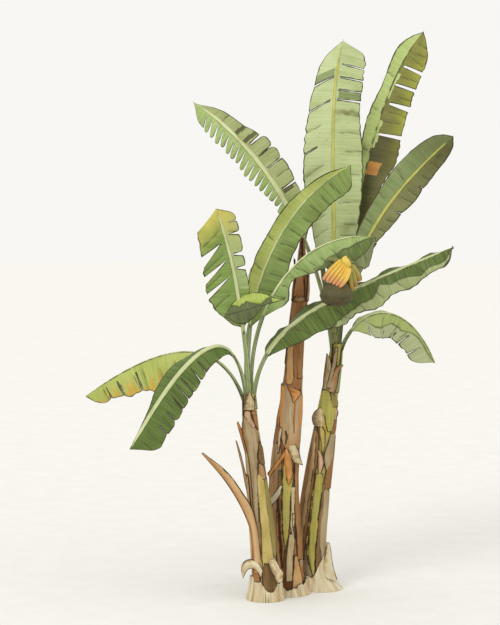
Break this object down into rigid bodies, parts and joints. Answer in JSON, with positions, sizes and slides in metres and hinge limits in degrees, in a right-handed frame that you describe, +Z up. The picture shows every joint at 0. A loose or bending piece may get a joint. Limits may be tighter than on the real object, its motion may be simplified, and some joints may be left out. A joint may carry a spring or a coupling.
{
  "type": "banana plant",
  "caption": "Clump of leaning banana stems from one root, with broad torn leaves, peeling old sheaths and a short bunch of fruit.",
  "frame": {"origin": "centre of the middle stem's flat foot, at ground level", "axes": "+Z up; +X to the right and +Y away from the viewer, seen from the plant's front"},
  "size_m": [2.9528, 2.449, 4.5766],
  "materials": {
    "green_stem": "satin, fibrous",
    "dead_stem": "dull, shredded",
    "dry_sheath": "dry, papery",
    "root_crown": "matt, fibrous",
    "green_leaf": "satin, waxy",
    "pale_leaf": "satin, waxy",
    "olive_leaf": "satin, waxy",
    "fruit": "smooth, waxy",
    "bract": "leathery"
  },
  "bodies": {
    "root": {"fruit_bud": "bract", "fruit_bunch": "fruit", "leaf_left_arching": "green_leaf", "leaf_left_back": "green_leaf", "leaf_left_broad": "green_leaf", "leaf_left_far": "green_leaf", "leaf_left_near": "green_leaf", "leaf_left_tall": "green_leaf", "leaf_left_upright": "green_leaf", "leaf_right_back": "green_leaf", "leaf_right_combed": "green_leaf", "leaf_right_drooping": "green_leaf", "leaf_right_leaning": "olive_leaf", "leaf_right_tallest": "pale_leaf", "leaf_right_tattered": "olive_leaf", "root_crown": "root_crown", "sheath_left_collar": "dry_sheath", "sheath_left_curl": "dry_sheath", "sheath_left_front": "dry_sheath", "sheath_left_long": "dry_sheath", "sheath_left_scar": "dry_sheath", "sheath_left_spike": "dry_sheath", "sheath_left_stub": "dry_sheath", "sheath_middle_cuff": "dry_sheath", "sheath_middle_peel": "dry_sheath", "sheath_middle_side": "dry_sheath", "sheath_middle_strip": "dry_sheath", "sheath_middle_tongue": "dry_sheath", "sheath_right_blister": "dry_sheath", "sheath_right_edge": "dry_sheath", "sheath_right_flare": "dry_sheath", "sheath_right_scale": "dry_sheath", "sheath_right_spike": "dry_sheath", "sheath_right_tip": "dry_sheath", "stem_left": "green_stem", "stem_middle": "dead_stem", "stem_right": "green_stem"}
  },
  "joints": []
}
